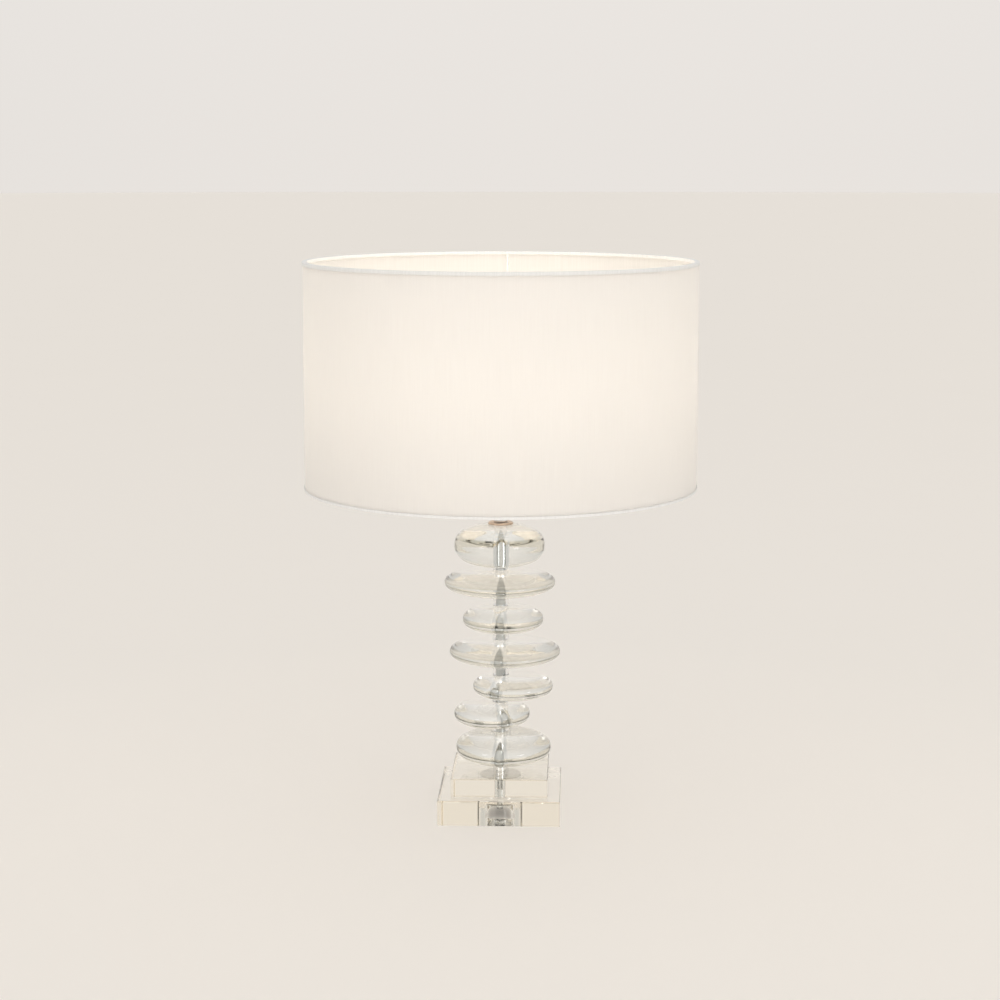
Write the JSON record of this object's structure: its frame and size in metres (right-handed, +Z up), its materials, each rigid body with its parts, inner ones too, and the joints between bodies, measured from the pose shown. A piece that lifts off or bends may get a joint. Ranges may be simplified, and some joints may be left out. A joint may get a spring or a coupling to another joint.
{
  "type": "table lamp",
  "caption": "Table lamp with a stack of offset clear crystal pebbles on a stepped square crystal base, under a wide fabric drum shade carried by a harp.",
  "frame": {"origin": "on the table, under the centre of the base", "axes": "+Z up along the stem; -Y is the front, +Y the side with the cord outlet; the base's sides lie along X and Y"},
  "size_m": [0.4016, 0.4016, 0.5728],
  "materials": {
    "crystal": "polished clear crystal",
    "clear_plastic": "clear",
    "chrome": "polished",
    "steel": "zinc plated",
    "brass": "satin",
    "rubber": "matt",
    "black_plastic": "moulded",
    "insulating_card": "matt",
    "bulb_cap": "satin",
    "white_plastic": "satin",
    "led_board": "white lacquer",
    "opal_globe": "opal, lit",
    "shade_fabric": "fine white weave laminated to the lining",
    "shade_lining": "translucent white",
    "trim_fabric": "folded white tape",
    "white_steel": "white enamel"
  },
  "bodies": {
    "lamp_base": {"base_lower_block": "crystal", "base_upper_block": "crystal", "foot_pad_1": "clear_plastic", "foot_pad_2": "clear_plastic", "foot_pad_3": "clear_plastic", "foot_pad_4": "clear_plastic", "cord_bush": "clear_plastic", "threaded_tube": "chrome", "base_rubber_washer": "rubber", "base_washer": "steel", "base_nut": "steel", "crystal_pebble_1": "crystal", "crystal_pebble_2": "crystal", "crystal_pebble_3": "crystal", "crystal_pebble_4": "crystal", "crystal_pebble_5": "crystal", "crystal_pebble_6": "crystal", "crystal_pebble_7": "crystal", "clear_spacer_1": "clear_plastic", "clear_spacer_2": "clear_plastic", "clear_spacer_3": "clear_plastic", "clear_spacer_4": "clear_plastic", "clear_spacer_5": "clear_plastic", "clear_spacer_6": "clear_plastic", "clear_spacer_7": "clear_plastic", "top_cap": "chrome", "neck_tube": "chrome", "harp_saddle": "steel", "harp_wire": "chrome", "harp_stud": "steel", "socket_cap": "brass", "socket_shell": "brass", "socket_liner": "insulating_card", "socket_core": "black_plastic", "socket_screw_shell": "brass", "socket_contact": "brass"},
    "shade": {"shade_fabric": "shade_fabric", "shade_liner": "shade_lining", "top_trim": "trim_fabric", "bottom_trim": "trim_fabric", "top_ring": "white_steel", "bottom_ring": "white_steel", "spider": "white_steel"},
    "finial": {"finial": "chrome"},
    "bulb": {"bulb_contact": "black_plastic", "bulb_cap": "bulb_cap", "bulb_housing": "white_plastic", "bulb_led_board": "led_board", "bulb_globe": "opal_globe"},
    "switch_knob": {"switch_knob": "black_plastic"},
    "harp_sleeve_1": {"harp_sleeve_1": "chrome"},
    "harp_sleeve_2": {"harp_sleeve_2": "chrome"}
  },
  "joints": [
    {"name": "shade_swivel", "type": "hinge", "parent": "lamp_base", "child": "shade", "pos_m": [0, 0, 0.5458], "axis": [0, 0, 1], "continuous": true},
    {"name": "finial_turn", "type": "hinge", "parent": "lamp_base", "child": "finial", "pos_m": [0, 0, 0.554], "axis": [0, 0, 1], "continuous": true},
    {"name": "bulb_turn", "type": "hinge", "parent": "lamp_base", "child": "bulb", "pos_m": [0, 0, 0.395], "axis": [0, 0, 1], "continuous": true},
    {"name": "switch_turn", "type": "hinge", "parent": "lamp_base", "child": "switch_knob", "pos_m": [0, 0, 0.36453], "axis": [0.7071, -0.7071, 0], "continuous": true},
    {"name": "harp_sleeve_1_lift", "type": "slide", "parent": "lamp_base", "child": "harp_sleeve_1", "axis": [0, 0, 1], "range_m": [0, 0.016]},
    {"name": "harp_sleeve_2_lift", "type": "slide", "parent": "lamp_base", "child": "harp_sleeve_2", "axis": [0, 0, 1], "range_m": [0, 0.016]}
  ]
}
